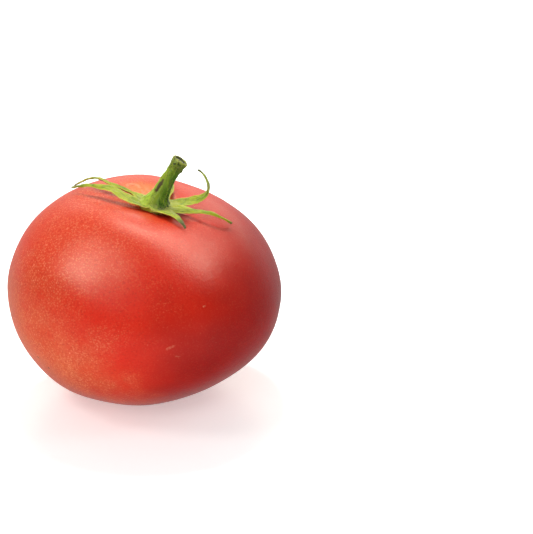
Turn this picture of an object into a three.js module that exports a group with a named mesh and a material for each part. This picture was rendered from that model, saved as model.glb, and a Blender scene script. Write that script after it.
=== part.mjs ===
// A ripe round tomato, as picked: the fruit, the stub of its stalk, and the six sepals of its calyx.
// Millimetres, +Z up, seen from -Y. The table is at z = 0 and the origin is the middle of the
// underside of the box that holds everything.
//
// The fruit is worked out upright, in its own frame: +Z runs out of the stalk end and z = 0 is its
// widest ring. It then leans a little, as a picked tomato does, and settles on a small flat spot.
// The stalk and the sepals are placed on the fruit's skin, so they follow it when its sizes change.

import * as THREE from 'three';
import { mergeVertices } from 'three/addons/utils/BufferGeometryUtils.js';

// ---------- The fruit's sizes ----------
const FRUIT_RADIUS = 40;        // at the widest ring
const TOP_HEIGHT = 31;          // widest ring up to the top, before the stalk's hollow is taken off
const BASE_DEPTH = 32.9;        // widest ring down to the blossom end
const TOP_SQUARENESS = 1;       // power of the profile at the top: 1 is an ellipse, less is fuller
const BASE_SQUARENESS = 1.03;   // the same at the blossom end
const TOP_LOPSIDE = 0.08;       // how much fuller the left of the top is than its right
const BASE_LOPSIDE = 0.35;      // the same at the blossom end
const OVAL = 0.02;              // share by which the widest ring is longer along OVAL_TURN
const OVAL_TURN = 45;           // degrees
const HOLLOW_DEPTH = 5.2;       // the dip that the stalk grows from
const HOLLOW_RADIUS = 12.5;
const LOBE_COUNT = 3;           // soft lobes that swell the widest ring, and ribs over the shoulder
const LOBE_SWELL = 0.012;       // share by which a lobe swells the ring
const LOBE_TURN = 60;           // degrees
const RIB_HEIGHT = 0.45;
const RIB_DISTANCE = 19;        // from the axis to where the ribs are highest
const RIB_SPREAD = 10;
const RIB_TURN = -4;            // degrees
const BLOSSOM_DIMPLE = 2.4;     // the small dimple where the flower fell off
const BLOSSOM_RADIUS = 3.2;
const PRESSED_FLAT = 1.2;       // how far the underside gives way where the fruit rests
const LEAN_RIGHT = 6.7;         // degrees that the stalk end leans towards +X
const LEAN_FRONT = 4;           // degrees that it leans towards -Y
const FRUIT_SIDES = 60;
const FRUIT_RINGS = 38;
const POLE_CROWDING = 0.5;      // share by which the rings draw together at the two ends

// ---------- The stalk's sizes ----------
const STALK_LENGTH = 16.3;
const STALK_LEAN = 20;          // degrees from the fruit's axis, towards +X
const STALK_LEAN_BACK = 4;      // degrees, towards +Y
const STALK_UPRIGHT = 5;        // how far it rises straight out of the hollow before it leans
const FOOT_RADIUS = 4.4;        // the disc where the sepals join
const FOOT_THICKNESS = 1.1;
const FOOT_EDGE = 0.7;          // how far its underside is rounded off
const FOOT_FLARE = 2.2;         // the length over which the foot narrows into the neck
const NECK_RADIUS = 2.7;        // just above the disc
const WAIST_RADIUS = 1.85;      // the thinnest place
const KNUCKLE_RADIUS = 2.35;    // the swollen joint where the stalk parts from the vine
const KNUCKLE_LENGTH = 3;
const KNUCKLE_EDGE = 0.3;       // how far its rim is rounded off
const SCAR_RADIUS = 1.55;       // the sunken face of the break
const SCAR_DEPTH = 0.45;
const STALK_SIDES = 16;
const STALK_RIDGES = 5;
const STALK_RIDGE_HEIGHT = 0.12;

// ---------- The sepals' sizes ----------
const SEPAL_THICKNESS = 1.0;    // at the root
const TIP_THINNING = 0.55;      // share of it that is left at the tip
const ROOT_WIDTH = 0.5;         // share of a sepal's width at its root, and at its tip
const TIP_WIDTH = 0.1;
const WIDEST_AT = 0.28;         // share of the length
const SKIN_CLEARANCE = 0.5;     // between the skin and what lies on it
const ROOT_CLEARANCE = 0.35;    // between the stalk's disc and each sepal's root
const RIM_CLEARANCE = 0.1;      // between the skin and the rim of the stalk's disc, where the hollow is tight
const SEPAL_STATIONS = 18;
const SEPAL_SIDES = 12;
const SIDE_RISE = 0.3;          // how steeply a sepal's margins rise from its midrib

// A sepal's midrib is a smooth line over the skin. Each of its points is
// [distance out from the foot's edge, azimuth, height over where it would lie on the skin].
// The azimuth is in degrees from +X, anticlockwise seen from above.
const SEPALS = [
  {
    name: 'sepal_left',
    width: 5.6,
    tipTurn: -25,
    midrib: [[0, 204, 0], [2.8, 198, 0.2], [6, 190, 1.1], [9.8, 180, 1.8], [13.6, 172, 1.6], [20.5, 162, 0.4]],
  },
  {
    name: 'sepal_left_back',
    width: 4.4,
    tipTurn: 40,
    midrib: [[0, 150, 0], [4.5, 158, 0.3], [9.5, 163, 1.2], [13, 158, 1.8], [16.5, 154, 1.4], [21.5, 154, 0.2]],
  },
  {
    name: 'sepal_back',
    width: 4.8,
    tipTurn: 10,
    midrib: [[0, 74, 0], [4.4, 72, 0.2], [8.3, 77, 0.3], [11, 82, 0.5]],
  },
  {
    name: 'sepal_right_back',
    width: 5.6,
    tipTurn: -15,
    midrib: [[0, 10, 0], [4.8, 5, 0.2], [7.8, 5, 1.1], [9.6, 8, 3], [9.6, 10, 5.4], [8.6, 11, 8], [7.1, 9, 10.3]],
  },
  {
    name: 'sepal_right_front',
    width: 4.6,
    tipTurn: 20,
    midrib: [[0, -32, 0], [4.3, -31, 0.2], [8, -28, 0.6], [12.2, -22, 1.3], [17.3, -13, 0.2]],
  },
  {
    name: 'sepal_front',
    width: 4.6,
    tipTurn: 0,
    midrib: [[0, -72, 0], [3.4, -65, 0.2], [7.4, -61, 0.6], [12.1, -59, 0.1]],
  },
];

const SKIN_RED = 0xc8301c;
const STALK_GREEN = 0x6f8a2a;
const SEPAL_GREEN = 0x93ad3a;

const { cos, sin, pow, hypot, atan2, PI } = Math;
const rad = THREE.MathUtils.degToRad;
const bump = (x) => Math.exp(-x * x);

// ---------- The fruit ----------

// A point of the upright fruit's skin. polar is 0 at the stalk end and PI at the blossom end.
function skinPoint(polar, azimuth) {
  const up = cos(polar);
  const squareness = THREE.MathUtils.lerp(BASE_SQUARENESS, TOP_SQUARENESS, (1 + up) / 2)
    + cos(azimuth) * THREE.MathUtils.lerp(BASE_LOPSIDE, TOP_LOPSIDE, (1 + up) / 2);
  const ring = 1 + OVAL * cos(2 * (azimuth - rad(OVAL_TURN)))
    + LOBE_SWELL * cos(LOBE_COUNT * (azimuth - rad(LOBE_TURN)));
  const out = FRUIT_RADIUS * ring * pow(Math.max(sin(polar), 0), squareness);
  const half = (TOP_HEIGHT + BASE_DEPTH) / 2;
  let z = half * up - (BASE_DEPTH - TOP_HEIGHT) / 2 * up * up;
  if (up > 0) {
    z -= HOLLOW_DEPTH * bump(out / HOLLOW_RADIUS);
    z += RIB_HEIGHT * cos(LOBE_COUNT * (azimuth - rad(RIB_TURN))) * bump((out - RIB_DISTANCE) / RIB_SPREAD);
  } else {
    z += BLOSSOM_DIMPLE * bump(out / BLOSSOM_RADIUS);
  }
  return new THREE.Vector3(out * cos(azimuth), out * sin(azimuth), z);
}

// The height of the upper skin over a point (x, y) of the upright fruit, by halving the polar angle.
function skinHeight(x, y) {
  const azimuth = atan2(y, x);
  const distance = hypot(x, y);
  let low = 0;
  let high = PI / 2;
  for (let i = 0; i < 40; i++) {
    const middle = (low + high) / 2;
    const p = skinPoint(middle, azimuth);
    if (hypot(p.x, p.y) < distance) low = middle;
    else high = middle;
  }
  return skinPoint(low, azimuth).z;
}

// A point at a given height over the skin, measured along the skin's normal.
function overSkin(x, y, height) {
  const step = 0.5;
  const slopeX = (skinHeight(x + step, y) - skinHeight(x - step, y)) / (2 * step);
  const slopeY = (skinHeight(x, y + step) - skinHeight(x, y - step)) / (2 * step);
  const normal = new THREE.Vector3(-slopeX, -slopeY, 1).normalize();
  return new THREE.Vector3(x, y, skinHeight(x, y)).addScaledVector(normal, height);
}

// A unit ball whose points move to the skin, which then leans and is pressed flat underneath.
function fruitGeometry(lean) {
  const ball = new THREE.SphereGeometry(1, FRUIT_SIDES, FRUIT_RINGS).rotateX(PI / 2);
  ball.deleteAttribute('normal');
  ball.deleteAttribute('uv');
  const skin = mergeVertices(ball, 1e-4);
  const position = skin.attributes.position;
  for (let i = 0; i < position.count; i++) {
    const even = Math.acos(THREE.MathUtils.clamp(position.getZ(i), -1, 1));
    const polar = even - POLE_CROWDING * sin(2 * even) / 2;
    const p = skinPoint(polar, atan2(position.getY(i), position.getX(i)));
    position.setXYZ(i, p.x, p.y, p.z);
  }
  skin.applyMatrix4(lean);
  skin.computeBoundingBox();
  const table = skin.boundingBox.min.z + PRESSED_FLAT;
  for (let i = 0; i < position.count; i++) {
    position.setZ(i, Math.max(position.getZ(i), table));
  }
  skin.computeVertexNormals();
  return skin;
}

// ---------- Lofted pieces ----------

// A closed body through a list of rings, each a list of points that run anticlockwise seen from the
// far end. Each end is closed by a fan.
function loft(rings) {
  const sides = rings[0].length;
  const points = rings.flat();
  const faces = [];
  for (let r = 0; r + 1 < rings.length; r++) {
    for (let s = 0; s < sides; s++) {
      const a = r * sides + s;
      const b = r * sides + (s + 1) % sides;
      faces.push(a, b, b + sides, a, b + sides, a + sides);
    }
  }
  const middle = (ring) => ring.reduce((sum, p) => sum.add(p), new THREE.Vector3()).divideScalar(sides);
  const first = points.push(middle(rings[0])) - 1;
  const last = points.push(middle(rings.at(-1))) - 1;
  const top = (rings.length - 1) * sides;
  for (let s = 0; s < sides; s++) {
    faces.push(first, (s + 1) % sides, s);
    faces.push(last, top + s, top + (s + 1) % sides);
  }
  const geometry = new THREE.BufferGeometry().setFromPoints(points).setIndex(faces);
  geometry.computeVertexNormals();
  return geometry;
}

// How high the stalk's disc sits: clear of the bottom of the hollow, and of its slope at the rim.
function footHeight() {
  let height = skinHeight(0, 0) + SKIN_CLEARANCE;
  for (const [radius, up] of [[FOOT_RADIUS - FOOT_EDGE, 0], [FOOT_RADIUS, FOOT_THICKNESS / 3]]) {
    const out = radius + STALK_RIDGE_HEIGHT;
    for (let s = 0; s < STALK_SIDES; s++) {
      const turn = 2 * PI * s / STALK_SIDES;
      height = Math.max(height, skinHeight(out * cos(turn), out * sin(turn)) + RIM_CLEARANCE - up);
    }
  }
  return height;
}

// The stalk: a round foot in the hollow, a waist, and a swollen end with a sunken break.
function stalkGeometry() {
  const foot = new THREE.Vector3(0, 0, footHeight());
  const heading = new THREE.Vector3(sin(rad(STALK_LEAN)), sin(rad(STALK_LEAN_BACK)), cos(rad(STALK_LEAN)));
  const end = foot.clone().addScaledVector(heading.normalize(), STALK_LENGTH);
  const turning = foot.clone().setZ(foot.z + STALK_UPRIGHT);
  const line = new THREE.QuadraticBezierCurve3(foot, turning, end);

  // [distance along the stalk, radius], from the underside of the foot to the rim of the break
  const knuckle = STALK_LENGTH - KNUCKLE_LENGTH;
  const halfway = (FOOT_THICKNESS + FOOT_FLARE + knuckle) / 2;
  const profile = [
    [0, FOOT_RADIUS - FOOT_EDGE],
    [FOOT_THICKNESS / 3, FOOT_RADIUS],
    [FOOT_THICKNESS, FOOT_RADIUS],
    [FOOT_THICKNESS + FOOT_FLARE / 3, (FOOT_RADIUS + 2 * NECK_RADIUS) / 3],
    [FOOT_THICKNESS + FOOT_FLARE, NECK_RADIUS],
    [halfway, (NECK_RADIUS + 2 * WAIST_RADIUS) / 3],
    [knuckle - KNUCKLE_LENGTH / 2, WAIST_RADIUS],
    [knuckle + KNUCKLE_LENGTH / 5, (WAIST_RADIUS + KNUCKLE_RADIUS) / 2],
    [knuckle + KNUCKLE_LENGTH / 2, KNUCKLE_RADIUS],
    [STALK_LENGTH - KNUCKLE_EDGE, KNUCKLE_RADIUS],
    [STALK_LENGTH, KNUCKLE_RADIUS - KNUCKLE_EDGE],
  ];
  const ringAt = (distance, radius, sink = 0) => {
    const t = distance / STALK_LENGTH;
    const centre = line.getPointAt(t);
    const along = line.getTangentAt(t);
    centre.addScaledVector(along, -sink);
    const across = new THREE.Vector3(0, 1, 0).cross(along).normalize();
    const behind = along.clone().cross(across);
    return Array.from({ length: STALK_SIDES }, (_, s) => {
      const turn = 2 * PI * s / STALK_SIDES;
      const r = radius + STALK_RIDGE_HEIGHT * cos(STALK_RIDGES * turn);
      return centre.clone().addScaledVector(across, r * cos(turn)).addScaledVector(behind, r * sin(turn));
    });
  };
  const rings = profile.map(([distance, radius]) => ringAt(distance, radius));
  rings.push(ringAt(STALK_LENGTH, SCAR_RADIUS, SCAR_DEPTH));
  return loft(rings);
}

// A sepal's width along its length, as a share of its greatest width: broad near the root, then
// narrowing to a fine point.
function sepalShare(t) {
  if (t < WIDEST_AT) return THREE.MathUtils.lerp(ROOT_WIDTH, 1, sin(t / WIDEST_AT * PI / 2));
  return THREE.MathUtils.lerp(1, TIP_WIDTH, (t - WIDEST_AT) / (1 - WIDEST_AT));
}

// A sepal: a thin blade with raised margins, lofted along a midrib that follows the skin.
function sepalGeometry({ width, tipTurn, midrib }) {
  const rest = SKIN_CLEARANCE + SEPAL_THICKNESS / 2;
  const root = FOOT_RADIUS + STALK_RIDGE_HEIGHT + ROOT_CLEARANCE;
  const route = new THREE.CatmullRomCurve3(midrib.map(([distance, azimuth, height]) => new THREE.Vector3(
    (root + distance) * cos(rad(azimuth)), (root + distance) * sin(rad(azimuth)), rest + height)));
  const pointAt = (t) => {
    const { x, y, z } = route.getPoint(THREE.MathUtils.clamp(t, 0, 1));
    return overSkin(x, y, z);
  };
  const chord = route.getPoint(0.5).sub(route.getPoint(0));     // a curled tip points back, so half way
  const left = new THREE.Vector3(-chord.y, chord.x, 0).normalize();
  const rings = [];
  for (let i = 0; i <= SEPAL_STATIONS; i++) {
    const t = i / SEPAL_STATIONS;
    const centre = pointAt(t);
    const along = pointAt(t + 0.02).sub(pointAt(t - 0.02)).normalize();
    const across = left.clone().addScaledVector(along, -left.dot(along)).normalize()
      .applyAxisAngle(along, rad(tipTurn) * t);
    const face = along.clone().cross(across);
    const half = width / 2 * sepalShare(t);
    const thick = SEPAL_THICKNESS / 2 * THREE.MathUtils.lerp(1, TIP_THINNING, t);
    rings.push(Array.from({ length: SEPAL_SIDES }, (_, s) => {
      const turn = 2 * PI * s / SEPAL_SIDES;
      const side = half * cos(turn);
      const rise = SIDE_RISE * side * side / half;
      return centre.clone().addScaledVector(across, side).addScaledVector(face, thick * sin(turn) + rise);
    }));
  }
  return loft(rings);
}

// ---------- The tomato ----------

const finish = (color, roughness) => new THREE.MeshStandardMaterial({ color, roughness, metalness: 0 });

function piece(name, geometry, material) {
  const mesh = new THREE.Mesh(geometry, material);
  mesh.name = name;
  return mesh;
}

const lean = new THREE.Euler(rad(LEAN_FRONT), rad(LEAN_RIGHT), 0, 'YXZ');
const tomato = new THREE.Group();
const leaning = new THREE.Matrix4().makeRotationFromEuler(lean);
tomato.add(piece('fruit', fruitGeometry(leaning), finish(SKIN_RED, 0.35)));

const calyx = new THREE.Group();
calyx.rotation.copy(lean);
calyx.add(piece('stalk', stalkGeometry(), finish(STALK_GREEN, 0.7)));
for (const sepal of SEPALS) {
  calyx.add(piece(sepal.name, sepalGeometry(sepal), finish(SEPAL_GREEN, 0.65)));
}
tomato.add(calyx);

// Stand it on z = 0 with the middle of its box over the origin.
const box = new THREE.Box3().setFromObject(tomato, true);
tomato.position.set(-(box.min.x + box.max.x) / 2, -(box.min.y + box.max.y) / 2, -box.min.z);

export default tomato;
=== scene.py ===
# %% [markdown]
# # A ripe tomato, picked with its stalk
#
# The shape and the sizes come from a plain CAD model of eight pieces: the fruit, the stub of its
# stalk and six sepals. This notebook grows a fine skin and fine leaves over that frame, gives each
# a finish made of nodes, and sets the tomato on a white table in soft light.
#
# We start by loading the frame. Every CAD piece sits at the origin with its place in its own
# mesh, in metres, so anything we make from its points is already in the right place.

import math

import bmesh
import bpy
import numpy as np
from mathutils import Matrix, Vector, noise


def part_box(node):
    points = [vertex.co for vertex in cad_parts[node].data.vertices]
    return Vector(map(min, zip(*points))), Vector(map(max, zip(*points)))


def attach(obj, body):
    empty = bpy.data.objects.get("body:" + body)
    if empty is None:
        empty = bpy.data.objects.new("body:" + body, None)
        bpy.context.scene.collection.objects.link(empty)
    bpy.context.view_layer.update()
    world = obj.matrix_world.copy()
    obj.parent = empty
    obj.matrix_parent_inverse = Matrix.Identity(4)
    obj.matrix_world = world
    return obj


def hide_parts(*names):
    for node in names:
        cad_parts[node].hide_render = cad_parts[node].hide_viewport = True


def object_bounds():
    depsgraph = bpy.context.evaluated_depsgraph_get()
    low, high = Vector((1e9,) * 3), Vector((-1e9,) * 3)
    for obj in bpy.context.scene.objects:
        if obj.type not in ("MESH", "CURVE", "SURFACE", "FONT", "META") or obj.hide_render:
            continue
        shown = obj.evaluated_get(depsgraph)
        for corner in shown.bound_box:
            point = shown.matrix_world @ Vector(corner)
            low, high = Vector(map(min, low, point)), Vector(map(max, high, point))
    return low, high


MM = 0.001

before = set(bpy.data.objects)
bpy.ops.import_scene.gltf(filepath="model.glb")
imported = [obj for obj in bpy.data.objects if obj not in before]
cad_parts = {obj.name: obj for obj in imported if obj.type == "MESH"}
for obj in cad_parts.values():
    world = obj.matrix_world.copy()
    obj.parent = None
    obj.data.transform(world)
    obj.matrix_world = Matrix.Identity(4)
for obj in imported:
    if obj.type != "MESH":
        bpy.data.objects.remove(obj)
cad_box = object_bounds()
print("pieces:", sorted(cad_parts))
print("box in mm:", [[round(v / MM, 1) for v in corner] for corner in cad_box])

# %% [markdown]
# ## The camera
#
# A tomato looks its natural size from about a metre away. A long lens keeps the round fruit from
# bulging. The camera looks down a little, so that it sees both the cheek of the fruit and the
# green star on its top, and the fruit stands left of the middle of the view.

# %% Set the camera
FILM = 36.0
LENS = 202.2
CAMERA_DISTANCE = 0.8784
CAMERA_ELEVATION = math.radians(22)
FRUIT_TO_LEFT = 35.5 * MM
FRUIT_TO_BELOW = 6.95 * MM

low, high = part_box("fruit")
fruit_middle = (low + high) / 2
forward = Vector((0, math.cos(CAMERA_ELEVATION), -math.sin(CAMERA_ELEVATION)))
upward = Vector((0, math.sin(CAMERA_ELEVATION), math.cos(CAMERA_ELEVATION)))

camera_data = bpy.data.cameras.new("camera")
camera_data.sensor_width = FILM
camera_data.lens = LENS
camera = bpy.data.objects.new("camera", camera_data)
camera.location = fruit_middle - forward * CAMERA_DISTANCE + upward * FRUIT_TO_BELOW
camera.location.x += FRUIT_TO_LEFT
camera.rotation_euler = (math.pi / 2 - CAMERA_ELEVATION, 0, 0)
bpy.context.scene.collection.objects.link(camera)
bpy.context.scene.camera = camera
print("camera at", [round(v, 3) for v in camera.location])

# %% [markdown]
# ## Soft light
#
# A studio lights glossy fruit with softboxes, large white panels that the skin reflects as pale
# patches. How bright those patches are and how bright the fruit is are two things, and polarising
# filters set them apart. We do the same with two kinds of panel: a lamp only lights the fruit, and
# a gleam, which is a little warm, only shows in its gloss.

# %% A lamp and a gleam
GLEAM_TINT = (1.0, 0.94, 0.74)


def light_panel(name, direction, distance, width, height, watts):
    """A white panel that faces the fruit from a direction."""
    light = bpy.data.lights.new(name, "AREA")
    light.shape = "RECTANGLE"
    light.size = width
    light.size_y = height
    light.energy = watts
    panel = bpy.data.objects.new(name, light)
    toward = Vector(direction).normalized()
    panel.location = fruit_middle + toward * distance
    panel.rotation_euler = toward.to_track_quat("Z", "Y").to_euler()
    bpy.context.scene.collection.objects.link(panel)
    return panel


def lamp(name, direction, distance, width, height, watts):
    light_panel(name, direction, distance, width, height, watts).visible_glossy = False


def gleam(name, direction, distance, width, height, watts):
    panel = light_panel(name, direction, distance, width, height, watts)
    panel.visible_diffuse = False
    panel.data.color = GLEAM_TINT


print("panels face the middle of the fruit, at", [round(v, 3) for v in fruit_middle])

# %% [markdown]
# Small lamps from above give the leaves their shadows, and a large one in front fills them in. The
# gleams stand where the broad pale patches of the skin ask for them: on the left cheek, along the
# top, on the right shoulder and on the far rim. The Standard view keeps the reds as bright as the
# nodes say, where the default view would grey them.

# %% Set the lights
lamp("left_lamp", (-0.65, -0.20, 0.74), 0.80, 0.22, 0.22, 1.15)
lamp("top_lamp", (-0.05, 0.50, 0.86), 0.90, 0.14, 0.10, 5.8)
lamp("right_lamp", (0.72, -0.10, 0.66), 0.90, 0.20, 0.40, 0.9)
lamp("front_lamp", (-0.10, -0.80, 0.50), 1.20, 0.90, 0.70, 4.9)
gleam("left_gleam", (-0.61, -0.32, 0.80), 0.80, 0.44, 0.48, 8.2)
gleam("top_gleam", (0.20, 0.40, 0.89), 0.90, 0.60, 0.24, 6.6)
gleam("right_gleam", (0.62, 0.12, 0.80), 0.90, 0.28, 0.30, 4.4)
gleam("back_gleam", (0.26, 0.90, 0.36), 0.90, 1.10, 0.34, 2.1)

bpy.context.scene.view_settings.view_transform = "Standard"

# %% [markdown]
# ## Writing shaders as sums
#
# A material is a web of nodes, and most of its wires are plain arithmetic. So we wrap an output
# socket in a small class whose operators add Math nodes: `1 - mask` then reads as it would on
# paper. Every other node comes from one method, `node`, which takes the node's type, its settings
# and its inputs.

# %% A socket that can be used in sums
class Socket:
    """An output socket. Python's operators on it add Math nodes to the same material."""

    def __init__(self, tree, output):
        self.tree = tree
        self.output = output

    def node(self, kind, settings, inputs, output=0):
        """Adds any node. Settings come first, because they can change which inputs there are."""
        made = self.tree.nodes.new(kind)
        for name, value in settings.items():
            setattr(made, name, value)
        for name, value in inputs.items():
            if isinstance(value, Socket):
                self.tree.links.new(value.output, made.inputs[name])
            else:
                made.inputs[name].default_value = value
        return Socket(self.tree, made.outputs[output])

    def math(self, operation, *values):
        return self.node("ShaderNodeMath", {"operation": operation}, dict(enumerate(values)))

    def __add__(self, other):
        return self.math("ADD", self, other)

    __radd__ = __add__

    def __sub__(self, other):
        return self.math("SUBTRACT", self, other)

    def __rsub__(self, other):
        return self.math("SUBTRACT", other, self)

    def __mul__(self, other):
        return self.math("MULTIPLY", self, other)

    __rmul__ = __mul__

    def __truediv__(self, other):
        return self.math("DIVIDE", self, other)

    def __pow__(self, other):
        return self.math("POWER", self, other)

    def __abs__(self):
        return self.math("ABSOLUTE", self)


print("a socket takes + - * / ** and abs()")

# %% [markdown]
# A few helpers name the nodes that every finish here uses. The masks come first: a soft step
# between two values, cloudy noise given by the size of its blotches in metres, the distance to
# the nearest of many scattered points, and the distance to one point.

# %% Helpers for masks
def step(value, low_end, high_end):
    """0 below low_end, 1 above high_end and a smooth rise between. Swapped ends make it fall."""
    if low_end > high_end:
        return 1 - step(value, high_end, low_end)
    limits = {"Value": value, "From Min": low_end, "From Max": high_end}
    return value.node("ShaderNodeMapRange", {"interpolation_type": "SMOOTHSTEP"}, limits)


def any_of(masks):
    """One mask for what any of several masks covers."""
    whole = masks[0]
    for mask in masks[1:]:
        whole = whole.math("MAXIMUM", whole, mask)
    return whole


def cloud(place, size, detail=3.0, roughness=0.5, warp=0.0):
    """Cloudy noise around 0.5, with blotches about `size` metres across."""
    look = {"Scale": 1 / size, "Detail": detail, "Roughness": roughness, "Distortion": warp}
    return place.node("ShaderNodeTexNoise", {}, {"Vector": place, **look})


def fleck_distance(place, spacing):
    """The distance to the nearest of many scattered points, as a share of their spacing."""
    return place.node("ShaderNodeTexVoronoi", {}, {"Vector": place, "Scale": 1 / spacing})


def distance_to(place, point):
    return place.node("ShaderNodeVectorMath", {"operation": "DISTANCE"}, {0: place, 1: point}, 1)


def stretched(place, scale):
    """The same places with each axis scaled, which draws out what is painted there."""
    return place.node("ShaderNodeVectorMath", {"operation": "MULTIPLY"}, {0: place, 1: scale})


def part_of(place, axis):
    """One of the three numbers of a place, in metres."""
    return place.node("ShaderNodeSeparateXYZ", {}, {"Vector": place}, axis)


def attribute(here, name):
    """A number that the mesh carries at each of its points."""
    return here.node("ShaderNodeAttribute", {"attribute_name": name}, {}, "Fac")


print("mask helpers ready")

# %% [markdown]
# Colours are layered like paint: `mix` lays one colour over another where a mask is 1. Each finish
# starts from the place of each point in the frame, and ends in one shader with a bump.

# %% Helpers for colours and finishes
FACTOR, COLOUR_A, COLOUR_B, COLOUR_OUT = 0, 6, 7, 2


def mix(mask, below, above):
    """One colour laid over another where the mask is 1."""
    colours = {FACTOR: mask, COLOUR_A: below, COLOUR_B: above}
    return mask.node("ShaderNodeMix", {"data_type": "RGBA"}, colours, COLOUR_OUT)


def rgb(red, green, blue):
    return (red, green, blue, 1.0)


def new_finish(name):
    """An empty material, and the place of each of its points in the frame."""
    material = bpy.data.materials.new(name)
    material.use_nodes = True
    tree = material.node_tree
    tree.nodes.clear()
    here = Socket(tree, tree.nodes.new("ShaderNodeTexCoord").outputs["Object"])
    return material, here


def finish_with(material, here, constants, colour, roughness, height, relief):
    """Ends a material: one shader, with a bump of `relief` metres where height goes from 0 to 1."""
    bump = here.node("ShaderNodeBump", {}, {"Height": height, "Distance": relief, "Strength": 1.0})
    looks = {"Base Color": colour, "Roughness": roughness, "Normal": bump}
    shader = here.node("ShaderNodeBsdfPrincipled", {}, {**looks, **constants})
    surface = here.tree.nodes.new("ShaderNodeOutputMaterial").inputs["Surface"]
    here.tree.links.new(shader.output, surface)
    return material


print("colour helpers ready")

# %% [markdown]
# ## Reading the rings of a CAD piece
#
# The CAD fruit, stalk and sepals are all lofts: a point at one end, ring after ring of points, and
# a point at the other end. The two end points have more edges than any other. Walking out from
# one of them, edge by edge, meets the rings one after another, so we get back the midline and the
# width of each piece without repeating a single number of the CAD model.

# %% Walk along a loft
SAME_POINT = 0.001 * MM


def walk_rings(name, start_near):
    """The rings of a CAD loft, from the end nearest a point. Each is an array of points."""
    maker = bmesh.new()
    maker.from_mesh(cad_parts[name].data)
    bmesh.ops.remove_doubles(maker, verts=maker.verts, dist=SAME_POINT)
    maker.verts.index_update()
    ends = sorted(maker.verts, key=lambda v: -len(v.link_edges))[:2]
    first = min(ends, key=lambda v: (v.co - start_near).length)
    seen = {first}
    level = [first]
    rings = []
    while level:
        rings.append(np.array([v.co for v in level]))
        beyond = {e.other_vert(v) for v in level for e in v.link_edges} - seen
        seen |= beyond
        level = sorted(beyond, key=lambda v: v.index)
    maker.free()
    return rings


def unit(vectors):
    return vectors / np.linalg.norm(vectors, axis=-1, keepdims=True)


top_of_all = Vector((0, 0, cad_box[1][2]))
fruit_rings = walk_rings("fruit", top_of_all)
print("fruit:", len(fruit_rings) - 2, "rings of", len(fruit_rings[1]), "points")

# %% [markdown]
# A curve through every point is then all that is needed to make a smooth piece from a coarse one.
# The Catmull-Rom curve does that: it passes through its points and bends evenly between them.

# %% A smooth curve through evenly numbered samples
def catmull(before, start, end, after, share):
    """Points between start and end, for shares from 0 to 1."""
    return start + 0.5 * share * (end - before + share * (
        2 * before - 5 * start + 4 * end - after + share * (3 * (start - end) + after - before)))


def smooth_along(samples, places):
    """The samples, taken at places from 0 to 1 along them."""
    samples = np.asarray(samples, float)
    last = len(samples) - 1
    along = np.clip(places, 0, 1) * last
    number = np.minimum(along.astype(int), last - 1)
    share = (along - number).reshape([-1] + [1] * (samples.ndim - 1))
    before = samples[np.maximum(number - 1, 0)]
    after = samples[np.minimum(number + 2, last)]
    return catmull(before, samples[number], samples[number + 1], after, share)


print("half way along 0, 1, 4, 9 is", float(smooth_along([0, 1, 4, 9], np.array([0.5]))[0]))

# %% [markdown]
# ## The skin of the fruit
#
# A sphere made of meridians pinches at its poles, and on a tomato both poles show: one is the
# hollow round the stalk, the other is the blossom end. A cube whose faces are cut fine and blown
# up into a ball has no poles, and its faces stay even quads, so we start from that.

# %% Make a ball of even quads
BALL_CUTS = 7


def ball_of_quads():
    """The points and faces of a unit ball, made from a cube that is cut fine."""
    maker = bmesh.new()
    bmesh.ops.create_cube(maker, size=2)
    mesh = bpy.data.meshes.new("cube")
    maker.to_mesh(mesh)
    maker.free()
    cube = bpy.data.objects.new("cube", mesh)
    bpy.context.scene.collection.objects.link(cube)
    cut = cube.modifiers.new("cut", "SUBSURF")
    cut.subdivision_type = "SIMPLE"
    cut.levels = BALL_CUTS
    fine = cube.evaluated_get(bpy.context.evaluated_depsgraph_get()).to_mesh()
    points = np.array([v.co for v in fine.vertices])
    faces = [tuple(p.vertices) for p in fine.polygons]
    bpy.data.objects.remove(cube)
    return unit(np.tan(points * math.pi / 4)), faces


ball, ball_faces = ball_of_quads()
print(len(ball), "points in the ball")

# %% [markdown]
# Each point of the ball then moves to the matching place on the CAD fruit: its angle from the
# stalk end picks the ring, and its angle round the axis picks the place on the ring. For that, the
# rings are sorted into a grid that knows its own axis, because the fruit leans.

# %% Sort the fruit's rings into a grid
def fruit_grid():
    """The CAD fruit as a grid: one row for each ring, one column for each turn round the axis."""
    top = fruit_rings[0][0]
    base = fruit_rings[-1][0]
    axis = unit(top - base)
    right = unit(np.cross(np.cross(axis, (1, 0, 0)), axis))
    back = np.cross(axis, right)
    columns = len(fruit_rings[1])
    rows = [np.tile(top, (columns, 1))]
    for ring in fruit_rings[1:-1]:
        turn = np.arctan2((ring - base) @ back, (ring - base) @ right)
        column = np.round(turn / (2 * math.pi) * columns).astype(int) % columns
        rows.append(ring[np.argsort(column)])
    rows.append(np.tile(base, (columns, 1)))
    return np.array(rows), axis, right, back


grid, fruit_axis, fruit_right, fruit_back = fruit_grid()
print("grid of", grid.shape[0], "rows and", grid.shape[1], "columns, axis", fruit_axis.round(3))

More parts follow.
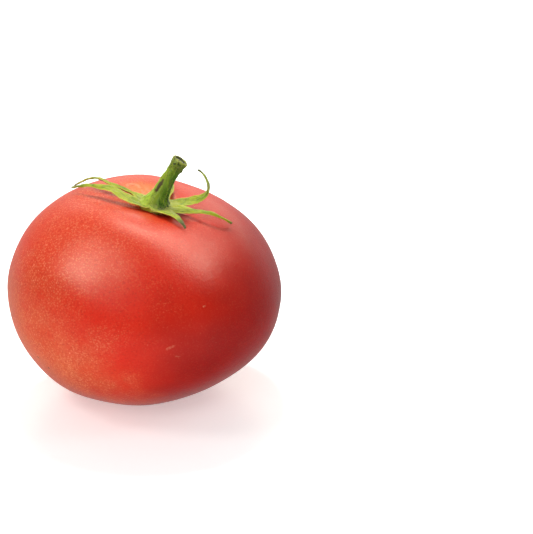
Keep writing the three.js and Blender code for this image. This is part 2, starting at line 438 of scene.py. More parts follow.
# %% Stretch the ball over the grid
def skin_points(directions):
    """The points of the smooth skin in these directions of the upright fruit."""
    rows = len(grid) - 1
    columns = grid.shape[1]
    polar = np.arccos(np.clip(directions[:, 2], -1, 1)) / math.pi * rows
    turn = np.arctan2(directions[:, 1], directions[:, 0]) / (2 * math.pi) * columns
    row = np.clip(polar.astype(int), 0, rows - 1)
    column = np.floor(turn).astype(int)
    down = (polar - row)[:, None]
    around = (turn - column)[:, None]

    def point(i, j):
        """Past a pole, the grid goes on down the other side."""
        across = (i < 0) | (i > rows)
        i = np.where(i < 0, -i, np.where(i > rows, 2 * rows - i, i))
        return grid[i, (j + across * (columns // 2)) % columns]

    def on_row(i):
        return catmull(*(point(i, column + k) for k in (-1, 0, 1, 2)), around)

    return catmull(*(on_row(row + k) for k in (-1, 0, 1, 2)), down)


skin = skin_points(ball)
skin[:, 2] = np.maximum(skin[:, 2], 0)
print("skin box in mm:", (skin.min(0) / MM).round(1), (skin.max(0) / MM).round(1))

# %% [markdown]
# No real fruit is that even. Low swells of a quarter of a millimetre bend its highlights, shallow
# creases run out from under the calyx where the fruit grew tight, and the flower left a small
# corky nub at the other end. These are shapes, so they go into the mesh and not into a bump.

# %% Swells and creases
CREASES = 23
CREASE_REACH = 10.5 * MM
CREASE_START = 5 * MM
CREASE_WANDER = 2.2

hollow = fruit_rings[0][0]
blossom = fruit_rings[-1][0]


def swell(points, size, seed):
    """Smooth noise from about -1 to 1, with hills `size` apart."""
    shift = Vector((seed, seed, seed))
    return np.array([noise.noise(Vector(p) / size + shift) for p in points]) * 2


def creases(points):
    """Shallow folds that run out from the stalk and fade."""
    out = points - hollow
    turn = np.arctan2(out @ fruit_back, out @ fruit_right)
    reach = np.linalg.norm(out, axis=1)
    wander = CREASE_WANDER * swell(points, 6 * MM, 3.0)
    fold = np.cos(CREASES * turn + wander) * (0.5 + 0.5 * swell(points, 9 * MM, 5.0))
    return fold * np.exp(-(reach / CREASE_REACH) ** 3) * np.clip(reach / CREASE_START, 0, 1)


print("the hollow is at", (hollow / MM).round(1), "and the blossom end at", (blossom / MM).round(1))

# %% Grow the skin's relief
SWELL_SIZE = 17 * MM
SWELL_HEIGHT = 0.28 * MM
CREASE_DEPTH = 0.09 * MM
NUB_RADIUS = 1.3 * MM
NUB_HEIGHT = 0.55 * MM
SMOOTH_BELOW = 3 * MM


def vertex_normals(points, faces):
    mesh = bpy.data.meshes.new("normals")
    mesh.from_pydata(points, [], faces)
    mesh.update()
    found = np.array([v.normal for v in mesh.vertices])
    bpy.data.meshes.remove(mesh)
    return found


nub = NUB_HEIGHT * np.exp(-(np.linalg.norm(skin - blossom, axis=1) / NUB_RADIUS) ** 4)
relief = SWELL_HEIGHT * swell(skin, SWELL_SIZE, 1.0) - CREASE_DEPTH * creases(skin) + nub
relief *= np.clip(skin[:, 2] / SMOOTH_BELOW, 0, 1)
skin += vertex_normals(skin, ball_faces) * relief[:, None]
skin[:, 2] = np.maximum(skin[:, 2], 0)
print("relief in mm:", round(relief.min() / MM, 2), "to", round(relief.max() / MM, 2))

# %% [markdown]
# Every piece is made in the same way. It rides on the body of the tomato, the CAD node whose shape
# it refines is hidden, and it wears its finish.

# %% Turn points and faces into a piece
def make_piece(name, points, faces, finish, replaced, slot, numbers=None):
    """A smooth mesh that stands for a CAD node. numbers are values that its points carry."""
    mesh = bpy.data.meshes.new(name)
    mesh.from_pydata(points, [], faces)
    mesh.shade_smooth()
    for key, values in (numbers or {}).items():
        mesh.attributes.new(key, "FLOAT", "POINT").data.foreach_set("value", values.astype(np.float32))
    mesh.materials.append(finish)
    made = bpy.data.objects.new(name, mesh)
    bpy.context.scene.collection.objects.link(made)
    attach(made, "root")
    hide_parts(replaced)
    print(name, "has", len(faces), "faces")


print("ready to make pieces")

# %% [markdown]
# ## The finish of the fruit
#
# Tomato skin is a thin clear film over wet flesh. Light goes a few millimetres into the flesh and
# comes out red, which the subsurface part of the shader does, and the film gleams on top of it. A
# vine-ripe fruit never reddens evenly. This one is golden on the lower left cheek, paler on its
# shoulder and yellow beside the stalk, where the calyx shaded it as it grew. Shade is also painted
# into the colour: a darker red on the right side and towards the bottom. Each of these is a soft
# mask made from the place on the fruit, with noise that keeps its border from being clean.

# %% Ripen the fruit
HALF_WIDTH = 40 * MM
HALF_HEIGHT = 30 * MM
SHADED_SPOT = tuple(hollow + np.array((-4, 5, 1)) * MM)


def ripened(here, blotch):
    """The colour of the ripe flesh, with shade painted into it, and how thickly the golden grain lies over
    it.
    """
    across = part_of(here, "X") / HALF_WIDTH
    back = part_of(here, "Y") / HALF_WIDTH
    height = (part_of(here, "Z") - fruit_middle.z) / HALF_HEIGHT
    broad = cloud(here, 26 * MM, 2.0) - 0.5

    # Painted shade: the right side is painted a deep red, darker still lower down.
    painted_shade_right = step(across + broad * 0.9 - height * 0.40, -0.15, 0.80)
    colour = mix(painted_shade_right, rgb(0.70, 0.021, 0.005), rgb(0.31, 0.002, 0.001))
    shoulder = step(height - across * 0.7 + broad * 0.8, 0.45, 1.35)
    colour = mix(shoulder * 0.7, colour, rgb(0.68, 0.055, 0.010))
    cheek = step(blotch * 0.8 - across * 0.9 - height * 0.6 - back * 0.3, 0.35, 1.20)
    colour = mix(cheek * 0.75, colour, rgb(0.69, 0.155, 0.052))
    # Painted shade: the fruit is painted a darker red towards its bottom.
    below = step(broad * 0.3 - height, 0.30, 1.0)
    colour = mix(below * 0.70, colour, rgb(0.42, 0.010, 0.004))
    shaded = step(distance_to(here, SHADED_SPOT) + blotch * (8 * MM), 11 * MM, 4 * MM)
    colour = mix(shaded * 0.6, colour, rgb(0.82, 0.27, 0.03))

    density = step(cheek + shoulder * 0.6 - painted_shade_right * 0.4 + blotch * 1.4, -0.2, 0.9)
    return colour, density


print("the shaded spot is at", (np.array(SHADED_SPOT) / MM).round(1))

# %% [markdown]
# Under the film lies a fine golden grain, thick on the cheek and almost gone on the right side, where
# shade is painted.
# Soft noise makes the grain itself, its low places are dark pores, and small round flecks lie over
# both. The same noise breaks up the edge of each fleck.

# %% Lay the golden grain
GRAIN_SIZE = 0.62 * MM
FLECK_SPACING = 0.72 * MM


def flecked(here, colour, density, grain):
    """The colour with golden flecks and grain over it, and the mask of the flecks."""
    fleck = fleck_distance(here, FLECK_SPACING) + (grain - 0.5) * 0.9
    flecks = step(fleck, 0.46, 0.14) * (0.08 + 0.92 * density)
    colour = mix(flecks * 0.46, colour, rgb(0.90, 0.33, 0.14))
    colour = mix(step(grain, 0.56, 0.72) * (0.10 + 0.8 * density), colour, rgb(0.88, 0.31, 0.16))
    colour = mix(step(grain, 0.48, 0.32) * 0.55, colour, rgb(0.48, 0.008, 0.002))
    return colour, flecks


print("a grain is", GRAIN_SIZE / MM, "mm and flecks are", FLECK_SPACING / MM, "mm apart")

# %% [markdown]
# A fruit that grew outdoors has marks: two faint scratches on the front with a pale fleck above
# them, a longer scratch at the left, a ring behind the calyx where a leaf lay on the skin, a few
# dark specks, and the cork that the flower left. We place each by saying which way it lies from
# the middle of the fruit: to the right, to the back and up.

# %% Place the marks
def on_skin(right, back, up):
    """The point of the skin that lies this way from the middle of the fruit."""
    aim = unit(np.array((right, back, up), float))
    away = skin - np.array(fruit_middle)
    return tuple(skin[np.argmax(unit(away) @ aim)])


# Each scratch has its middle, the way it runs, its length, its width and its strength.
SCRATCHES = [
    (on_skin(0.22, -0.97, -0.03), (0.9, 0.1, 0.35), 4.2 * MM, 0.60 * MM, 0.20),
    (on_skin(0.27, -0.96, -0.11), (0.9, 0.1, -0.20), 3.4 * MM, 0.40 * MM, 0.14),
    (on_skin(0.46, -0.86, 0.23), (0.9, 0.3, 0.0), 1.3 * MM, 0.40 * MM, 0.50),
    (on_skin(-0.62, 0.35, -0.20), (0.2, 0.5, 0.8), 5.0 * MM, 0.45 * MM, 0.40),
]
RING_SCAR = on_skin(-0.11, 0.22, 0.97)
RING_RADIUS = 1.7 * MM
SPECKS = [on_skin(-0.77, -0.58, -0.28), on_skin(-0.69, -0.63, -0.35), on_skin(-0.78, 0.25, 0.55)]
print("the ring scar is at", (np.array(RING_SCAR) / MM).round(1))

# %% Paint the marks
def scratch(here, middle, along, length, width):
    """A mask for a short thin mark on the skin."""
    off = here.node("ShaderNodeVectorMath", {"operation": "SUBTRACT"}, {0: here, 1: middle})
    run = off.node("ShaderNodeVectorMath", {"operation": "DOT_PRODUCT"}, {0: off, 1: along}, 1)
    far = off.node("ShaderNodeVectorMath", {"operation": "LENGTH"}, {0: off}, 1)
    beside = abs(far * far - run * run) ** 0.5
    wobble = (cloud(here, 1.4 * MM) - 0.5) * (0.8 * MM)
    return step(beside + wobble, width, width * 0.4) * step(far, length / 2, length * 0.35)


def marked(here, colour, blotch, grain):
    """The colour with every mark on it, and the masks of the scratches and the cork."""
    scratches = any_of([scratch(here, *shape) * strength for *shape, strength in SCRATCHES])
    scratches = scratches * (0.3 + 0.7 * step(grain, 0.44, 0.58))
    colour = mix(scratches, colour, rgb(0.82, 0.40, 0.24))

    off_ring = distance_to(here, RING_SCAR) - RING_RADIUS
    off_ring = off_ring + blotch * (4 * MM) + (grain - 0.5) * (1.4 * MM)
    ring = step(abs(off_ring), 0.55 * MM, 0.15 * MM) * step(cloud(here, 2.2 * MM), 0.40, 0.55)
    colour = mix(ring * 0.5, colour, rgb(0.84, 0.36, 0.18))

    specks = any_of([step(distance_to(here, place), 0.5 * MM, 0.2 * MM) for place in SPECKS])
    colour = mix(specks * 0.8, colour, rgb(0.10, 0.012, 0.006))
    cork = step(distance_to(here, tuple(blossom)), 1.5 * MM, 1.0 * MM)
    return mix(cork, colour, rgb(0.32, 0.18, 0.08)), scratches, cork


print(len(SCRATCHES), "scratches and", len(SPECKS), "specks")

# %% [markdown]
# The last cell of the skin puts the layers together. The grain also goes into the bump, less than a
# tenth of a millimetre high, so that the gleams break up into fine sparkles as they do on skin.

# %% Finish and make the fruit
GRAIN_RELIEF = 0.085 * MM


def fruit_finish():
    material, here = new_finish("tomato_skin")
    blotch = cloud(here, 9 * MM, 4.0) - 0.5
    grain = cloud(here, GRAIN_SIZE, 3.0, 0.7)
    colour, density = ripened(here, blotch)
    colour, flecks = flecked(here, colour, density, grain)
    colour, scratches, cork = marked(here, colour, blotch, grain)

    roughness = 0.30 + 0.08 * (blotch + 0.5) + flecks * 0.05 + scratches * 0.3 + cork * 0.4
    pores = grain * 0.9 + cloud(here, 3.2 * MM, 2.0) * 0.8 + flecks * 0.3 + scratches * 0.6
    constants = {
        "Subsurface Weight": 0.25,
        "Subsurface Radius": (1.0, 0.25, 0.12),
        "Subsurface Scale": 0.004,
        "Specular IOR Level": 0.30,
    }
    return finish_with(material, here, constants, colour, roughness, pores, GRAIN_RELIEF)


make_piece("fruit_skin", skin, ball_faces, fruit_finish(), "fruit", "tomato_skin")

# %% [markdown]
# ## Lofts with closed ends
#
# The stalk and the sepals are stems and straps, so each is made of rings strung along a line. One
# function joins any such rings into a mesh and closes its two ends with a fan.

# %% Join rings into a closed mesh
def loft(rings):
    """The points and faces of a tube through rings of equal counts, closed at both ends."""
    stations, around = rings.shape[:2]
    points = [tuple(p) for p in rings.reshape(-1, 3)]
    points += [tuple(rings[0].mean(0)), tuple(rings[-1].mean(0))]
    faces = []
    for i in range(stations - 1):
        for j in range(around):
            k = (j + 1) % around
            faces.append((i * around + j, i * around + k, (i + 1) * around + k, (i + 1) * around + j))
    for j in range(around):
        k = (j + 1) % around
        end = (stations - 1) * around
        faces.append((len(points) - 2, k, j))
        faces.append((len(points) - 1, end + j, end + k))
    return points, faces


def with_ends(numbers):
    """Values for the points of a loft, from values for its rings."""
    return np.concatenate([numbers.ravel(), [numbers[0].mean(), numbers[-1].mean()]])


print("a loft of 3 rings of 8 has", len(loft(np.zeros((3, 8, 3)))[1]), "faces")

# %% [markdown]
# ## The stalk
#
# The stub is the last joint of the stem. It flares into a disc where the sepals join, narrows to a
# waist and swells again at the knuckle, where it broke from the vine. Its outline comes from the
# CAD rings, with nine fine rings for each coarse one. A real stem widens softly above the disc, so
# the radius gets a low hump there.

# %% Read the outline of the stalk
STATIONS_PER_RING = 9
FLARE = 0.22
FLARE_MIDDLE = 0.13
FLARE_REACH = 0.09


def ring_frame(ring):
    """The middle and the radius of a ring, and the way that its plane faces."""
    middle = ring.mean(0)
    radius = np.linalg.norm(ring - middle, axis=1).mean()
    faces_way = np.linalg.svd(ring - middle)[2][2]
    return middle, radius, faces_way * np.sign(faces_way @ fruit_axis)


frames = [ring_frame(ring) for ring in walk_rings("stalk", Vector(hollow))[1:-1]]
places = np.linspace(0, 1, (len(frames) - 1) * STATIONS_PER_RING + 1)
stem_middles = smooth_along([f[0] for f in frames], places)
stem_radii = smooth_along([f[1] for f in frames], places)
stem_ways = unit(smooth_along([f[2] for f in frames], places))
stem_rise = (stem_middles - stem_middles[0]) @ fruit_axis
stem_run = stem_rise / stem_rise.max()
stem_radii *= 1 + FLARE * np.exp(-((stem_run - FLARE_MIDDLE) / FLARE_REACH) ** 2)
print("the stalk rises", round(stem_rise.max() / MM, 1), "mm in", len(places), "rings")

# %% [markdown]
# A stem that has begun to dry is ribbed and wrinkled along its length. Its foot is ragged where the
# sepals part from it, and its knuckle is knobbly. All of these move the points of each ring in or
# out, so they are sums of waves round the ring and of noise drawn out up the stalk.

# %% Wrinkle the stalk
STALK_AROUND = 72
RIBS = 5
RIB_HEIGHT = 0.12 * MM
FURROWS = 13
FURROW_DEPTH = 0.10 * MM
COLLAR = 0.9 * MM
WRINKLE = 0.16 * MM
LUMP = 0.10 * MM
KNUCKLE = 0.86
KNOBS = 7


def stem_noise(points, size, seed, lengthwise=1.0):
    """Noise for a grid of points. lengthwise below 1 draws it out up the stalk."""
    flat = (points - stem_middles[0]).reshape(-1, 3) * (1, 1, lengthwise)
    return swell(flat, size, seed).reshape(points.shape[:2])


def stalk_points():
    """The rings of the stalk, ribbed and wrinkled, with a ragged foot and a lip round the scar."""
    turns = np.arange(STALK_AROUND) / STALK_AROUND * 2 * math.pi
    first = unit(np.cross((0, 1, 0), stem_ways))
    second = np.cross(stem_ways, first)
    out = first[:, None] * np.cos(turns)[:, None] + second[:, None] * np.sin(turns)[:, None]
    points = stem_middles[:, None] + out * stem_radii[:, None, None]
    run = stem_run[:, None]
    streak = stem_noise(points, 1.5 * MM, 2.0, 0.28)
    lump = stem_noise(points, 2.6 * MM, 4.0)
    fine = stem_noise(points, 0.7 * MM, 6.0, 0.5)

    grown = WRINKLE * streak + LUMP * lump + 0.04 * MM * fine
    grown += RIB_HEIGHT * np.cos(RIBS * turns + 3 * run)
    grown += FURROW_DEPTH * np.cos(FURROWS * turns + streak) * (1 - run)
    grown += COLLAR * np.exp(-(run / 0.07) ** 2) * (0.35 + 0.65 * lump)
    knobs = 0.16 * MM * np.cos(KNOBS * turns + 4 * lump) + 0.24 * MM * lump
    grown += knobs * np.exp(-((run - KNUCKLE) / 0.10) ** 2)
    thin = np.minimum(1, stem_radii / (1.2 * MM))[:, None]
    points += out * (grown * thin)[:, :, None]

    lip = 0.24 * MM * lump + 0.10 * MM * fine
    lip[:-STATIONS_PER_RING] = 0
    return points + stem_ways[:, None] * lip[:, :, None]


stem = stalk_points()
print("stalk rings:", len(stem), "of", STALK_AROUND, "points")

# %% [markdown]
# Where the stalk broke off, it left a sunken scar with a raised ring in it, the dried bundle of
# the stem's vessels. A few more rings, each a smaller share of the rim, carry the surface over it.

# %% Carry the rings over the scar
# Each ring of the scar is a share of its rim, and stands so many millimetres above it.
SCAR_PROFILE = [(0.88, -0.03), (0.76, 0.06), (0.64, 0.16), (0.54, 0.17),
                (0.44, 0.06), (0.32, -0.05), (0.20, -0.06), (0.09, 0.00)]
SCAR_BUMP = 0.05 * MM


def scar_rings(rim, way):
    """Rings that carry on from the rim of the scar, over a raised ring, to its middle."""
    middle = rim.mean(0)
    rings = []
    for share, rise in SCAR_PROFILE:
        bumps = SCAR_BUMP * share * swell(rim, 1.1 * MM, 8.0 + share)[:, None]
        rings.append(middle + (rim - middle) * share + way * (rise * MM + bumps))
    return np.array(rings)


def stalk_numbers():
    """How far along the stalk each ring is, and how far into the scar."""
    count = len(stem)
    run = np.concatenate([stem_run, np.ones(count - len(stem_run))])
    rim = len(stem_run) - STATIONS_PER_RING
    scar = np.clip((np.arange(count) - rim) / (count - rim - 1), 0, 1)
    rings = np.ones((1, STALK_AROUND))
    return {"run": with_ends(run[:, None] * rings), "scar": with_ends(scar[:, None] * rings)}


stem = np.concatenate([stem, scar_rings(stem[-1], stem_ways[-1])])
print("with the scar:", len(stem), "rings")

# %% [markdown]
# The stalk is green, with light and shade painted across it: yellow-green on its left side and dark
# green on its right. It has brown cork in streaks, a dark bruise half way up and dark dots, thickest
# low on the right side and at the knuckle. Its scar is dry, with a pale middle. We let the colour
# follow two numbers that the mesh carries: how far along the stalk a point is, and how far into the scar.

# %% Colour the stalk
BRUISE_AT = 0.50
STEM_HALF = 2.2 * MM

half_way = int(np.argmin(np.abs(stem_run - BRUISE_AT)))
STEM_WAY = tuple(stem_ways[half_way])
BRUISE = tuple(stem_middles[half_way] + stem_radii[half_way] * np.array((-0.75, -0.65, 0.0)))


def stalk_colour(here, run, scar, blotch, long_grain):
    """The colour of the stalk, and the mask of its dots."""
    streak = cloud(stretched(here, (1.0, 1.0, 0.16)), 2.6 * MM, 3.0, 0.6, 0.4) - 0.5
    foot, head = stem_middles[0][0], stem_middles[-1][0]
    side = (part_of(here, "X") - foot - run * (head - foot)) / STEM_HALF

    # Painted light and shade: the left side is painted yellow-green, the right side dark green.
    colour = mix(step(streak * 1.6 - side, -0.2, 1.3), rgb(0.062, 0.165, 0.006), rgb(0.350, 0.510, 0.020))
    colour = mix(step(long_grain, 0.45, 0.75) * 0.5, colour, rgb(0.440, 0.560, 0.040))
    colour = mix(step(streak + blotch * 0.6, 0.10, 0.26) * 0.7, colour, rgb(0.165, 0.085, 0.022))
    bruise = scratch(here, BRUISE, STEM_WAY, 5.2 * MM, 0.72 * MM)
    colour = mix(bruise * 0.95, colour, rgb(0.060, 0.030, 0.010))
    colour = mix(step(run + blotch * 0.14, 0.17, 0.04) * 0.5, colour, rgb(0.340, 0.330, 0.035))
    at_knuckle = step(run + blotch * 0.2, 0.74, 0.92)
    colour = mix(at_knuckle * 0.45, colour, rgb(0.150, 0.150, 0.025))
    rim = step(run, 0.965, 0.985) * step(scar, 0.2, 0.0)
    colour = mix(rim * 0.7, colour, rgb(0.420, 0.440, 0.060))

    dots = step(fleck_distance(here, 0.60 * MM) + blotch * 0.7, 0.46, 0.22)
    shaded_side = step(side + blotch + streak, -0.6, 0.6) * step(run, 0.80, 0.25)
    dotted = dots * (0.35 + 0.65 * any_of([shaded_side, at_knuckle])) * 0.95
    colour = mix(dotted, colour, rgb(0.016, 0.026, 0.004))
    dry = mix(step(scar + blotch * 0.5, 0.45, 0.80), rgb(0.045, 0.045, 0.012), rgb(0.200, 0.200, 0.060))
    return mix(step(scar, 0.03, 0.12), colour, dry), dots


print("the bruise is at", (np.array(BRUISE) / MM).round(1))

# %% Finish and make the stalk
def stalk_finish():
    material, here = new_finish("green_stalk")
    run = attribute(here, "run")
    scar = attribute(here, "scar")
    blotch = cloud(here, 3.0 * MM, 4.0) - 0.5
    long_grain = cloud(stretched(here, (1.0, 1.0, 0.22)), 0.9 * MM, 4.0)
    colour, dots = stalk_colour(here, run, scar, blotch, long_grain)
    height = long_grain * 0.7 + cloud(here, 0.45 * MM, 2.0) * 0.5 - dots * 0.3
    roughness = 0.52 + blotch * 0.2 + step(scar, 0.03, 0.12) * 0.3
    constants = {
        "Subsurface Weight": 0.15,
        "Subsurface Radius": (0.5, 1.0, 0.2),
        "Subsurface Scale": 0.0006,
        "Specular IOR Level": 0.25,
        "Sheen Weight": 0.25,
        "Sheen Roughness": 0.4,
    }
    return finish_with(material, here, constants, colour, roughness, height, 0.12 * MM)


make_piece("stalk_stub", *loft(stem), stalk_finish(), "stalk", "green_stalk", stalk_numbers())

# %% [markdown]
# ## The sepals
#
# The six sepals are narrow leaves that are joined at the foot of the stalk. A box cut to a leaf's
# outline would look like card, so we sweep a thin section along each CAD midline. This cell reads
# the midline and the widths. Where a section is nearly round, its widest way says little, so the
# way across is taken from the section before it.

# %% Read the midline and the widths of a sepal
ROUND_RATIO = 1.25
SAME_WAY = 0.7


def read_sepal(name):
    """The midline of a CAD sepal, the way across it and half its width."""
    rings = walk_rings(name, Vector(hollow))[1:-1]
    middles = np.array([ring.mean(0) for ring in rings])
    along = unit(np.gradient(middles, axis=0))
    across = []
    for ring, middle in zip(rings, middles):
        sizes, ways = np.linalg.svd(ring - middle)[1:]
        way = ways[0]
        if across and (sizes[0] < ROUND_RATIO * sizes[1] or abs(way @ across[-1]) < SAME_WAY):
            way = across[-1]
        across.append(way * (1 if not across or way @ across[-1] > 0 else -1))
    across = np.array(across)
    if np.cross(along[0], across[0]) @ fruit_axis < 0:
        across = -across
    across = unit(across - along * (across * along).sum(1)[:, None])
    half = np.array([np.abs((ring - m) @ w).max() for ring, m, w in zip(rings, middles, across)])
    return middles, across, half


for name in sorted(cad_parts):
    if name.startswith("sepal"):
        middles, across, half = read_sepal(name)
        length = np.linalg.norm(np.diff(middles, axis=0), axis=1).sum()
        print(name, "is", round(length / MM, 1), "mm long and", round(2 * half.max() / MM, 1), "mm wide")

# %% [markdown]
# The root of each leaf runs in under the foot of the stalk and is made wider than the CAD sepal, so
# that the six leaves meet as one star. Towards the tip a leaf narrows, and it may roll to one side
# as it dries.

# %% Draw the outline of a leaf
LEAF_STATIONS = 120
ROOT_IN = 1.9 * MM
ROOT_UP = 0.75 * MM
ROOT_SAG = 0.1 * MM
TIP_HALF = 0.30 * MM
TIP_NARROWING = 0.45

leaf_run = np.linspace(0, 1, LEAF_STATIONS)


def step_up(values, low_end, high_end):
    """A soft step for numbers: 0 below low_end and 1 above high_end."""
    share = np.clip((values - low_end) / (high_end - low_end), 0, 1)
    return share * share * (3 - 2 * share)


def leaf_outline(name, root_half, fused, slim, roll):
    """A leaf's midline, its ways across and outward, half its width and the distances along it."""
    middles, across, half = read_sepal(name)
    root = middles[0] - unit(middles[1] - middles[0]) * ROOT_IN + fruit_axis * ROOT_UP
    middles = np.concatenate([[root, (root + middles[0]) / 2 - fruit_axis * ROOT_SAG], middles])
    across = np.concatenate([[across[0]] * 2, across])
    half = np.concatenate([[half[0]] * 2, half])
    reach = np.concatenate([[0], np.cumsum(np.linalg.norm(np.diff(middles, axis=0), axis=1))])
    distance = leaf_run * reach[-1]
    even = np.interp(distance, reach, np.linspace(0, 1, len(reach)))
    middles, across, half = (smooth_along(values, even) for values in (middles, across, half))

    widened = root_half * np.exp(-(distance / fused) ** 3)
    half = ((slim * half) ** 4 + widened ** 4) ** 0.25
    half = np.maximum(half * (1 - step_up(leaf_run, 0.80, 1.0) * TIP_NARROWING), TIP_HALF)
    along = unit(np.gradient(middles, axis=0))
    across = unit(across - along * (across * along).sum(1)[:, None])
    outward = np.cross(along, across)
    turned = (math.radians(roll) * step_up(leaf_run, 0.1, 0.5))[:, None]
    rolled = across * np.cos(turned) + outward * np.sin(turned)
    outward = outward * np.cos(turned) - across * np.sin(turned)
    return middles, rolled, outward, half, distance


print("a leaf is drawn at", LEAF_STATIONS, "stations")

# %% [markdown]
# The section is a flat oval with the midrib standing out below and a groove above it. Its margins
# curl up and wave, and fine furrows run along its upper face. Each point also carries its place on
# the leaf, which the finish needs for the veins and the margins.

# %% Sweep the section along the leaf
LEAF_AROUND = 36
RIB_BELOW = 0.30 * MM
GROOVE_ABOVE = 0.16 * MM
WAVE_LENGTH = 4.2 * MM
FRINGE = 0.08
WRINKLE_HEIGHT = 0.08 * MM
FURROW_HEIGHT = 0.05 * MM


def leaf_waves(distance, seed):
    """Three slow waves along a leaf, each from about -1 to 1."""
    shifts = [(seed * 7.3 + k * 3.1, k) for k in range(3)]
    waves = [[noise.noise((d / WAVE_LENGTH, *shift)) for d in distance] for shift in shifts]
    return np.array(waves)[:, :, None] * 2


def leaf(name, seed, root_half, fused, slim, thick, cup, wave, roll):
    """The rings of a leaf, and the numbers that its points carry."""
    middles, across, outward, half, distance = leaf_outline(name, root_half, fused, slim, roll)
    half = half[:, None]
    run = leaf_run[:, None]
    turns = np.arange(LEAF_AROUND) / LEAF_AROUND * 2 * math.pi
    side = np.cos(turns)[None] * np.ones_like(run)
    face = np.sin(turns)[None] * np.ones_like(run)
    edge = np.abs(side)
    tilt, curl, spread = leaf_waves(distance, seed)

    body = thick * (0.45 + 0.55 * np.sqrt(1 - side ** 2)) * (1 - 0.35 * run)
    rib = np.exp(-(side / 0.16) ** 2) * np.clip(1 - run * 1.1, 0, 1)
    height = face * body - np.where(face < 0, RIB_BELOW, GROOVE_ABOVE) * rib
    height += cup * half * edge ** 1.8 + wave * (tilt * side + curl) * edge ** 1.5
    width = side * (1 + FRINGE * spread * edge ** 3) * half
    points = middles[:, None] + across[:, None] * width[:, :, None] + outward[:, None] * height[:, :, None]
    relief = WRINKLE_HEIGHT * swell(points.reshape(-1, 3), 1.3 * MM, seed + 0.5).reshape(side.shape)
    relief += FURROW_HEIGHT * np.cos(side * 13 + 2 * curl) * (face > 0) * (half > 0.8 * MM)
    points += outward[:, None] * relief[:, :, None]

    whole = np.ones_like(side)
    numbers = {"side": side, "run": run * whole, "face": face, "reach": distance[:, None] * whole}
    return points, {key: with_ends(values) for key, values in numbers.items()}


print("leaf sections have", LEAF_AROUND, "points")

# %% [markdown]
# A picked sepal is yellow-green and leathery. Its margins and its midrib are paler than the rest,
# veins run off the rib towards the tip, and fibres run along it. The colour follows the numbers
# that the mesh carries: the place across the leaf, the place along it and which face it is.

# %% Colour a fresh leaf
PALE_VEIN = rgb(0.440, 0.480, 0.060)


def leaf_green(side, veins, fibre, blotch, fine):
    """The green of a leaf with its pale margins, midrib, veins and fibres."""
    green = step(blotch + fine * 0.3, -0.10, 0.16)
    colour = mix(green, rgb(0.400, 0.460, 0.014), rgb(0.190, 0.300, 0.008))
    colour = mix(step(side + fine * 0.3, 0.62, 0.95) * 0.9, colour, rgb(0.600, 0.610, 0.060))
    colour = mix(step(side + fine * 0.1, 0.14, 0.02) * 0.6, colour, PALE_VEIN)
    colour = mix(veins * 0.35, colour, PALE_VEIN)
    colour = mix(step(fibre, 0.04, 0.20) * 0.55, colour, rgb(0.120, 0.200, 0.012))
    return mix(step(fibre, -0.05, -0.20) * 0.45, colour, rgb(0.520, 0.540, 0.070))


print("vein colour", PALE_VEIN[:3])

# %% [markdown]
# Wear comes on top: a dull root, brown stains round it, dark spots, a paler lower face, and tips
# that have dried to a grey brown. The sepal at the front is withered for its last few millimetres.

# %% Wear a leaf
low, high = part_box("sepal_front")
FRONT_TIP = (high[0], low[1], low[2])


def leaf_wear(here, colour, face, reach, blotch, fine):
    """The colour with the dull root, stains, dark spots and paler lower face."""
    near_root = step(reach + blotch * (3 * MM), 4.5 * MM, 1.0 * MM)
    colour = mix(near_root * 0.5, colour, rgb(0.300, 0.330, 0.050))
    stain = step(reach + blotch * (5 * MM), 5.0 * MM, 1.5 * MM) * step(blotch + fine, 0.02, 0.20)
    colour = mix(stain * 0.8, colour, rgb(0.150, 0.095, 0.012))
    dark = step(fleck_distance(here, 1.7 * MM) + fine * 0.5, 0.20, 0.06)
    colour = mix(dark * 0.5, colour, rgb(0.060, 0.060, 0.014))
    return mix(step(face, 0.1, -0.4) * 0.35, colour, rgb(0.300, 0.370, 0.110))


def dry_tip(here, run, blotch):
    """The mask of the dried tip, which reaches further on the front sepal."""
    withered = step(distance_to(here, FRONT_TIP) + blotch * (3 * MM), 5.2 * MM, 2.6 * MM)
    return 1 - (1 - step(run + blotch * 0.12, 0.90, 1.0)) * (1 - withered * step(run, 0.4, 0.6))


print("the withered tip is at", [round(v / MM, 1) for v in FRONT_TIP])

# %% Finish the sepals
def sepal_finish():
    material, here = new_finish("green_sepal")
    across = attribute(here, "side")
    side = abs(across)
    run = attribute(here, "run")
    face = attribute(here, "face")
    reach = attribute(here, "reach")
    blotch = cloud(here, 3.4 * MM, 4.0) - 0.5
    fine = cloud(here, 0.8 * MM, 3.0) - 0.5
    slanted = {"X": side * 3.4 - reach / (2.4 * MM), "Y": run * 1.2, "Z": 0.0}
    vein_place = here.node("ShaderNodeCombineXYZ", {}, slanted)
    veins = step(fleck_distance(vein_place, 0.55) + fine * 0.2, 0.16, 0.02)
    lengthwise = {"X": across * 4.5, "Y": reach / (5 * MM), "Z": face}
    fibre_place = here.node("ShaderNodeCombineXYZ", {}, lengthwise)
    fibre = cloud(fibre_place, 1.0, 3.0) - 0.5

    colour = leaf_green(side, veins, fibre, blotch, fine)
    colour = leaf_wear(here, colour, face, reach, blotch, fine)
    dry = dry_tip(here, run, blotch)
    colour = mix(dry * 0.85, colour, rgb(0.085, 0.095, 0.040))
    height = veins * 0.4 + fine + fibre * 1.2 + cloud(here, 0.4 * MM, 2.0) * 0.4
    roughness = 0.50 + blotch * 0.25 + dry * 0.2
    constants = {
        "Subsurface Weight": 0.15,
        "Subsurface Radius": (0.6, 1.0, 0.15),
        "Subsurface Scale": 0.0008,
        "Specular IOR Level": 0.25,
        "Sheen Weight": 0.15,
        "Sheen Roughness": 0.4,
    }
    return finish_with(material, here, constants, colour, roughness, height, 0.16 * MM)


green_sepal = sepal_finish()
print("one finish for six sepals")

# %% [markdown]
# No two sepals grew alike. Each has its own seed for the noise, half width of the root, length of
# the wide root, slimness, thickness, cupping, waviness and roll in degrees. Lengths are in
# millimetres.

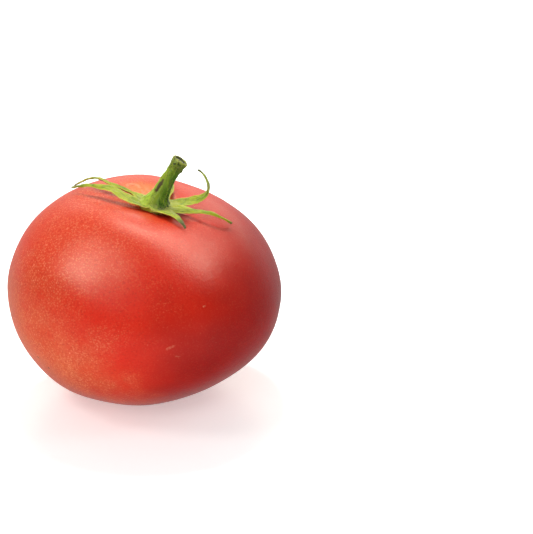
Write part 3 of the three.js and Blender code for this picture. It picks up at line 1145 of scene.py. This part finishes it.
# %% Grow the six sepals
# The columns: name, seed, root_half, fused, slim, thick, cup, wave and roll.
LEAVES = [
    ("sepal_left", 1.0, 2.8, 6.0, 0.78, 0.46, 0.14, 0.20, 0),
    ("sepal_left_back", 2.0, 2.5, 5.0, 0.42, 0.42, 0.10, 0.12, -20),
    ("sepal_back", 3.0, 2.6, 5.0, 0.85, 0.42, 0.10, 0.25, 0),
    ("sepal_right_back", 4.0, 3.1, 9.5, 0.68, 0.42, 0.12, 0.20, 14),
    ("sepal_right_front", 5.0, 2.8, 8.5, 0.58, 0.44, 0.08, 0.22, 6),
    ("sepal_front", 6.0, 2.6, 5.5, 0.95, 0.46, 0.10, 0.20, 0),
]
for name, seed, root_half, fused, slim, thick, cup, wave, roll in LEAVES:
    rings, numbers = leaf(name, seed, root_half * MM, fused * MM, slim, thick * MM, cup, wave * MM, roll)
    make_piece(name + "_leaf", *loft(rings), green_sepal, name, "green_sepal", numbers)

# %% [markdown]
# ## The table
#
# A white table lets the red fruit stand out and shows the contact shadow, which holds the fruit to
# the ground. The table glows a little, so that it stays white as a lit studio table does. Gleams
# leave it out, so that the belly keeps its red. It lies a tenth of a millimetre low, because a
# table in the same plane as the pressed flat of the fruit would leave streaks.

# %% Set the table
TABLE_REACH = 3.0
TABLE_GAP = 0.1 * MM
TABLE_GLOW = 0.42

corners = [(-1, -1), (1, -1), (1, 1), (-1, 1)]
table_mesh = bpy.data.meshes.new("table")
table_points = [(x * TABLE_REACH, y * TABLE_REACH, -TABLE_GAP) for x, y in corners]
table_mesh.from_pydata(table_points, [], [(0, 1, 2, 3)])
table = bpy.data.objects.new("table", table_mesh)
bpy.context.scene.collection.objects.link(table)

white, here = new_finish("white_table")
grain = cloud(here, 40 * MM)
paint = mix(grain * 0.05, rgb(0.93, 0.93, 0.93), rgb(0.9, 0.9, 0.9))
constants = {"Emission Color": rgb(1, 1, 1), "Emission Strength": TABLE_GLOW}
paper = finish_with(white, here, constants, paint, 0.30 + grain * 0.1, grain, 0.01 * MM)
table_mesh.materials.append(paper)
table.visible_glossy = False
print("the table is", 2 * TABLE_REACH, "m wide")

# %% [markdown]
# ## The sky
#
# Everything the lamps leave dark is filled by a pale sky, brightest overhead and at the back, as in
# a room with a window behind the table. Without it the gaps between the gleams would be black.

# %% Set the sky
SKY_FLOOR = 0.06
SKY_ABOVE = 0.28
SKY_BEHIND = 0.45

world = bpy.data.worlds.new("sky")
world.use_nodes = True
sky = world.node_tree.nodes["Background"]
way = Socket(world.node_tree, world.node_tree.nodes.new("ShaderNodeTexCoord").outputs["Generated"])
above = step(part_of(way, "Z"), 0.15, 0.95) * SKY_ABOVE
behind = step(part_of(way, "Y"), 0.0, 0.9) * SKY_BEHIND
glow = SKY_FLOOR + above + behind
sky.inputs["Color"].default_value = rgb(1, 1, 1)
world.node_tree.links.new(glow.output, sky.inputs["Strength"])
bpy.context.scene.world = world
print("the sky glows at", SKY_FLOOR, "to", round(SKY_FLOOR + SKY_ABOVE + SKY_BEHIND, 2))

# %% [markdown]
# ## The size of the frame
#
# The last cell prints the box of the CAD frame again.

# %% Print the CAD box
print("CAD box in mm:   ", [[round(v / MM, 2) for v in c] for c in cad_box])
